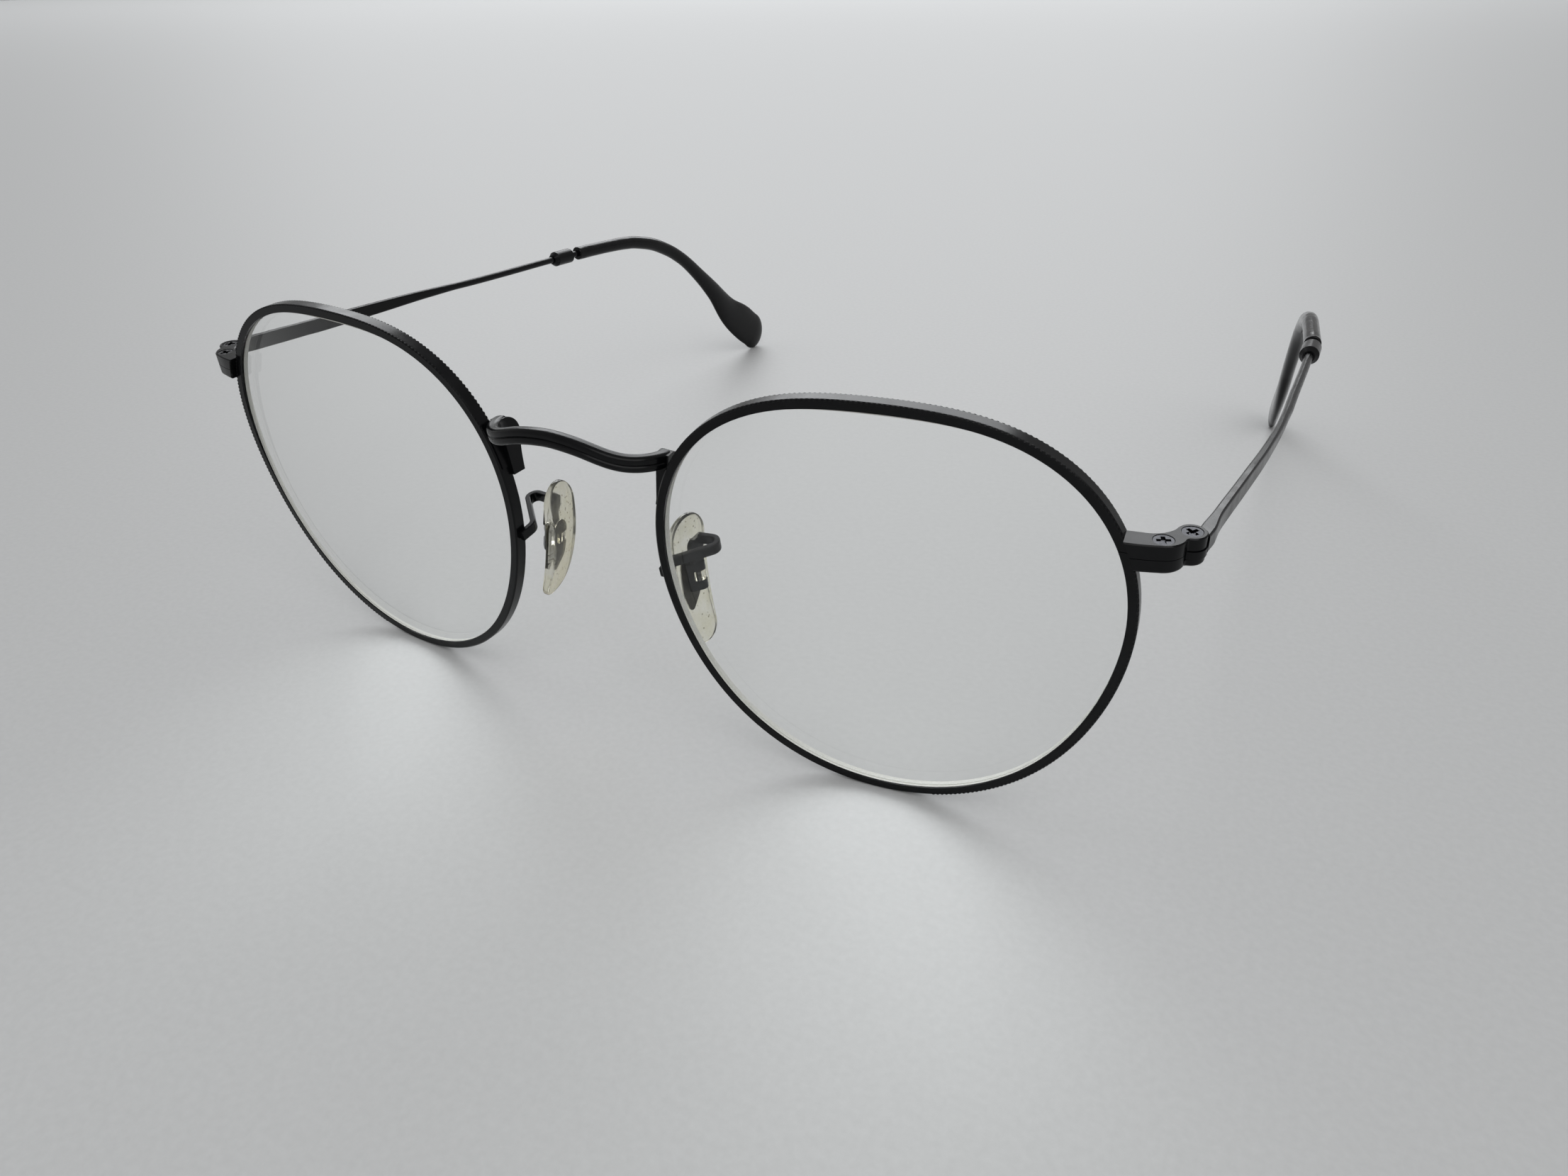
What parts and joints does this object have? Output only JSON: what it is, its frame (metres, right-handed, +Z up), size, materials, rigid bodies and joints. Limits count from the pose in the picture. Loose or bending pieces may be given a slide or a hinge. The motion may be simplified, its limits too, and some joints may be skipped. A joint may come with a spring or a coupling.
{
  "type": "blue light glasses",
  "caption": "Round full-rim metal spectacles with clear blue light filtering lenses, folding temples with plastic ear tips and rocking nose pads.",
  "frame": {"origin": "centre of the bounding box in plan, at the level of the surface the spectacles stand on", "axes": "+X towards the wearer's left, which is the mirror plane's normal; the front faces -Y and the temples run back along +Y; +Z up, with the spectacles standing on the rim bottoms and the temple tips"},
  "size_m": [0.1356, 0.1514, 0.0478],
  "materials": {
    "black_metal": "satin black coating over thin metal",
    "dark_screw": "dark plated steel, lightly worn",
    "clear_lens": "polished clear lens with a faint coating",
    "black_tip": "polished black plastic",
    "clear_pad": "clear soft plastic, slightly yellowed",
    "pad_insert": "thin metal insert seen through the pad"
  },
  "bodies": {
    "front": {"bridge": "black_metal", "left_rim": "black_metal", "left_lens": "clear_lens", "left_upper_closing_block": "black_metal", "left_lower_closing_block": "black_metal", "left_rim_lock_screw": "dark_screw", "left_hinge_screw": "dark_screw", "left_pad_arm": "black_metal", "left_pad_box": "black_metal", "left_pad_screw": "dark_screw", "right_rim": "black_metal", "right_lens": "clear_lens", "right_upper_closing_block": "black_metal", "right_lower_closing_block": "black_metal", "right_rim_lock_screw": "dark_screw", "right_hinge_screw": "dark_screw", "right_pad_arm": "black_metal", "right_pad_box": "black_metal", "right_pad_screw": "dark_screw"},
    "left_temple": {"left_temple": "black_metal", "left_temple_collar": "black_metal", "left_temple_tip": "black_tip"},
    "right_temple": {"right_temple": "black_metal", "right_temple_collar": "black_metal", "right_temple_tip": "black_tip"},
    "left_pad": {"left_nose_pad": "clear_pad", "left_pad_leaf": "pad_insert"},
    "right_pad": {"right_nose_pad": "clear_pad", "right_pad_leaf": "pad_insert"}
  },
  "joints": [
    {"name": "left_temple_hinge", "type": "hinge", "parent": "front", "child": "left_temple", "pos_m": [0.06385, -0.06376, 0.03809], "axis": [0, -0.0802, 0.9968], "range_deg": [0, 87]},
    {"name": "right_temple_hinge", "type": "hinge", "parent": "front", "child": "right_temple", "pos_m": [-0.06385, -0.06376, 0.03809], "axis": [0, 0.0802, -0.9968], "range_deg": [0, 83]},
    {"name": "left_pad_rock", "type": "hinge", "parent": "front", "child": "left_pad", "pos_m": [0.01112, -0.06382, 0.02044], "axis": [-0.1548, 0.0305, 0.9875], "range_deg": [-10, 10]},
    {"name": "right_pad_rock", "type": "hinge", "parent": "front", "child": "right_pad", "pos_m": [-0.01112, -0.06382, 0.02044], "axis": [0.1548, 0.0305, 0.9875], "range_deg": [-10, 10]}
  ]
}
